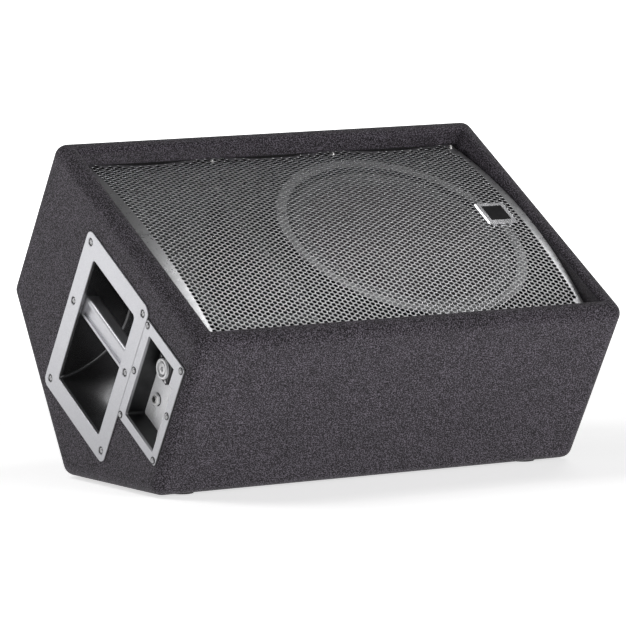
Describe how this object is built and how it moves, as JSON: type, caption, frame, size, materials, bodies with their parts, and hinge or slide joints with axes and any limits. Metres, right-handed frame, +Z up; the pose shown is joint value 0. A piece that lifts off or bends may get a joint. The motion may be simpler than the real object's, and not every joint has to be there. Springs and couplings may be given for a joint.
{
  "type": "stage monitor wedge",
  "caption": "Two-way wedge loudspeaker for the stage floor: carpeted cabinet, bowed perforated grille, recessed end handle and input dish.",
  "frame": {"origin": "on the floor under the middle of the cabinet's box", "axes": "+X along the cabinet from the end with the handle to the end with the pole socket, +Y to the rear, +Z up"},
  "size_m": [0.585, 0.4428, 0.3911],
  "materials": {
    "plywood": "raw birch plywood with dark glue lines",
    "carpet": "charcoal speaker carpet, matte and speckled",
    "grille_steel": "semi-gloss silver-grey coat on perforated steel",
    "screw_steel": "zinc-plated pan heads",
    "rubber": "matte black",
    "badge_metal": "bright bevelled frame",
    "badge_black": "gloss black",
    "plated_steel": "bright plating",
    "plate_paint": "satin silver-grey paint",
    "black_plastic": "fine-grained black",
    "basket_paint": "satin dark coat",
    "paper_cone": "doped paper pulp",
    "coil_wire": "enamelled copper wire; brass is the nearest listed metal",
    "spider_cloth": "resin-treated cloth",
    "ferrite": "ground ferrite",
    "diaphragm_metal": "thin bright dome",
    "board": "green circuit board",
    "capacitor_film": "yellow film wrap",
    "resistor_cement": "cast cement",
    "lead_jacket": "black jacket"
  },
  "bodies": {
    "cabinet": {"front_panel": "plywood", "upper_back_panel": "plywood", "lower_back_panel": "plywood", "bottom_panel": "plywood", "end_panel_left": "plywood", "end_panel_right": "plywood", "baffle_board": "plywood", "baffle_cleats": "plywood", "grille_rails": "plywood", "carpet_cover": "carpet", "grille": "grille_steel", "grille_screws": "screw_steel", "plate_screws": "screw_steel", "foot_screws": "screw_steel", "socket_screws": "screw_steel", "woofer_screws": "screw_steel", "horn_screws": "screw_steel", "driver_bolts": "screw_steel", "feet": "rubber", "dish_gasket": "rubber", "woofer_gasket": "rubber", "woofer_surround": "rubber", "phone_jack": "plated_steel", "jack_nut": "plated_steel", "socket_core": "plated_steel", "dish_plug": "plated_steel", "woofer_top_plate": "plated_steel", "woofer_pole_plate": "plated_steel", "driver_pole_plate": "plated_steel", "driver_gap_plate": "plated_steel", "board_standoffs": "plated_steel", "handle_tray": "plate_paint", "handle_grip": "plate_paint", "input_dish": "plate_paint", "pole_socket": "plate_paint", "socket_shell": "black_plastic", "jack_washer": "black_plastic", "horn": "black_plastic", "driver_cover": "black_plastic", "driver_clamp_ring": "black_plastic", "phase_plug": "black_plastic", "woofer_terminals": "black_plastic", "crossover_terminals": "black_plastic", "woofer_basket": "basket_paint", "crossover_coils": "coil_wire", "woofer_spider": "spider_cloth", "driver_surround": "spider_cloth", "woofer_magnet": "ferrite", "driver_magnet": "ferrite", "crossover_board": "board", "crossover_capacitors": "capacitor_film", "crossover_resistors": "resistor_cement", "internal_leads": "lead_jacket"},
    "cone": {"woofer_cone": "paper_cone", "dust_cap": "paper_cone", "voice_coil": "coil_wire"},
    "diaphragm": {"driver_diaphragm": "diaphragm_metal"},
    "badge": {"badge_plate": "badge_metal", "badge_inset": "badge_black", "badge_clip": "plated_steel"}
  },
  "joints": [
    {"name": "cone_stroke", "type": "slide", "parent": "cabinet", "child": "cone", "axis": [0, -0.521, 0.8536], "range_m": [-0.005, 0.005], "stiffness_N_per_m": 3000, "deforming": ["woofer_surround", "woofer_spider"]},
    {"name": "diaphragm_stroke", "type": "slide", "parent": "cabinet", "child": "diaphragm", "axis": [0, -0.521, 0.8536], "range_m": [-0.0003, 0.0003], "stiffness_N_per_m": 6000, "deforming": ["driver_surround"]},
    {"name": "badge_turn", "type": "hinge", "parent": "cabinet", "child": "badge", "pos_m": [0.2225, -0.04745, 0.293], "axis": [0, -0.521, 0.8536], "range_deg": [0, 90]}
  ]
}
